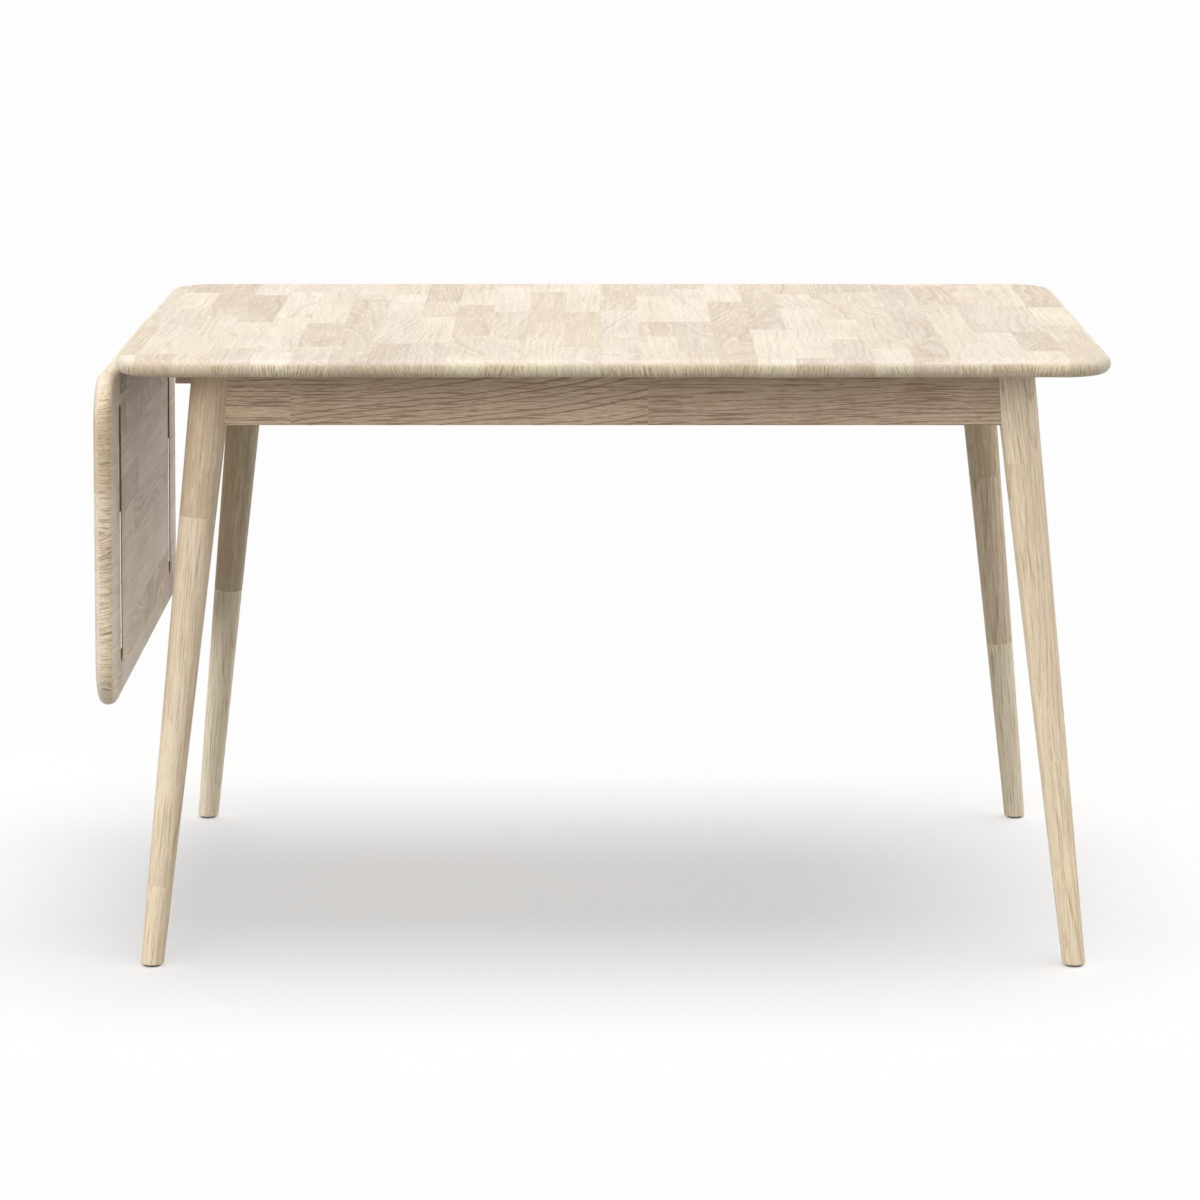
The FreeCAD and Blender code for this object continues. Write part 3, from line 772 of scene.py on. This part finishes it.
coat(makeBoardOak("oak_top", fixedTop), "fixed_top")
coat(makeBoardOak("oak_leaf", dropLeaf), "drop_leaf")
for index, side in enumerate(("front", "back")):
    middle = middleAcross(side + "_apron", 1)
    oak = makeLengthOak("oak_apron_" + side, (axisZ, axisX, axisY), middle, reseed(longApron, index))
    coat(oak, side + "_apron")
    middle = middleAcross(side + "_bearer", 1)
    oak = makeLengthOak("oak_bearer_" + side, (axisY, axisX, axisZ), middle, reseed(bearer, index))
    coat(oak, side + "_bearer", side + "_bearer_stop")
for index, end in enumerate(("hinge_end", "far_end")):
    middle = middleAcross(end + "_apron", 0)
    oak = makeLengthOak("oak_apron_" + end, (axisZ, axisY, axisX), middle, reseed(endApron, index))
    coat(oak, end + "_apron")
glidePlastic = makeGlidePlastic()
bracketSteel = makeSteel("bracket", (axisZ, axisX, axisY))
for corner in legs:
    coat(makeLegOak(corner), corner + "_leg")
    coat(glidePlastic, corner + "_foot_glide")
    coat(bracketSteel, corner + "_corner_bracket")
coat(bracketSteel, "top_angle_brackets", "front_bearer_guide", "back_bearer_guide")
hingeSteel = makeSteel("hinge", (axisY, axisX, axisZ))
for place in ("front", "middle", "back"):
    coat(hingeSteel, *[place + "_hinge_" + part for part in ("top_plate", "leaf_plate", "pin")])
coat(makeSteel("fastener", (axisX, axisY, axisZ)), "leg_hanger_bolts", "leg_bolt_washers", "leg_bolt_nuts",
     "corner_bracket_screws", "top_angle_screws", "hinge_top_screws", "hinge_leaf_screws",
     "leaf_stiffener_screws", "bearer_guide_screws")
coat(makeSteel("stiffener", (axisZ, axisX, axisY)), "front_leaf_stiffener", "back_leaf_stiffener")
print("finishes on", len(nodes), "nodes")


# pale floor, a soft light overhead, softer ones from the left and right, and an even fill
studio = {
    "floorSize": 60.0,
    "floorColour": (0.95, 0.95, 0.95, 1.0),
    "floorBounce": (0.74, 0.74, 0.74, 1.0),
    "floorLift": 0.475,
    "fill": 0.15,
    "lamps": {
        "overhead": {"strength": 1.22, "spread": 46.0, "elevation": 84.5, "azimuth": 105.0},
        "left": {"strength": 2.65, "spread": 76.0, "elevation": 41.0, "azimuth": -40.0},
        "right": {"strength": 2.1, "spread": 80.0, "elevation": 6.0, "azimuth": 92.0},
    },
    "shadowLamps": ("overhead",),
}


def seenDirectly(tree):  # camera, glossy and transmitted rays
    path = tree.nodes.new("ShaderNodeLightPath")
    seen = calc(tree, "MAXIMUM", path.outputs["Is Camera Ray"], path.outputs["Is Glossy Ray"])
    return calc(tree, "MAXIMUM", seen, path.outputs["Is Transmission Ray"])


def layFloor(setup):
    half = setup["floorSize"] / 2
    corners = [(-half, -half, 0), (half, -half, 0), (half, half, 0), (-half, half, 0)]
    mesh = bpy.data.meshes.new("floor")
    mesh.from_pydata(corners, [], [(0, 1, 2, 3)])
    floor = bpy.data.objects.new("floor", mesh)
    scene.collection.objects.link(floor)
    material, tree, shader = startMaterial("floor_paper")
    seen = seenDirectly(tree)
    paper = mixColour(tree, seen, setup["floorBounce"], setup["floorColour"])
    feed(tree, shader.inputs["Base Color"], paper)
    shader.inputs["Roughness"].default_value = 1.0
    shader.inputs["Specular IOR Level"].default_value = 0.0
    shader.inputs["Emission Color"].default_value = white
    feed(tree, shader.inputs["Emission Strength"], product(tree, seen, setup["floorLift"]))
    mesh.materials.append(material)
    return floor


def fillWorld(setup):
    world = bpy.data.worlds.new("studio")
    world.use_nodes = True
    scene.world = world
    tree = world.node_tree
    background = tree.nodes["Background"]
    background.inputs["Color"].default_value = white
    feed(tree, background.inputs["Strength"], spread(tree, seenDirectly(tree), (setup["fill"], 1.0)))


def hangLamps(setup, floor):
    # of the lamps, only the one overhead reaches the floor, so the shadow lies under the table
    skipped = bpy.data.collections.new("side_lamps_skip")
    skipped.objects.link(floor)
    skipped.collection_objects[0].light_linking.link_state = "EXCLUDE"
    for name, aim in setup["lamps"].items():
        lamp = bpy.data.objects.new(name, bpy.data.lights.new(name, "SUN"))
        lamp.data.energy = aim["strength"]
        lamp.data.angle = math.radians(aim["spread"])
        tip = math.radians(90.0 - aim["elevation"])  # tipped towards the front, then turned
        lamp.rotation_euler = (tip, 0.0, math.radians(aim["azimuth"]))
        scene.collection.objects.link(lamp)
        if name not in setup["shadowLamps"]:
            lamp.light_linking.receiver_collection = skipped


hangLamps(studio, layFloor(studio))
fillWorld(studio)
scene.view_settings.view_transform = "Standard"
print("studio lit")
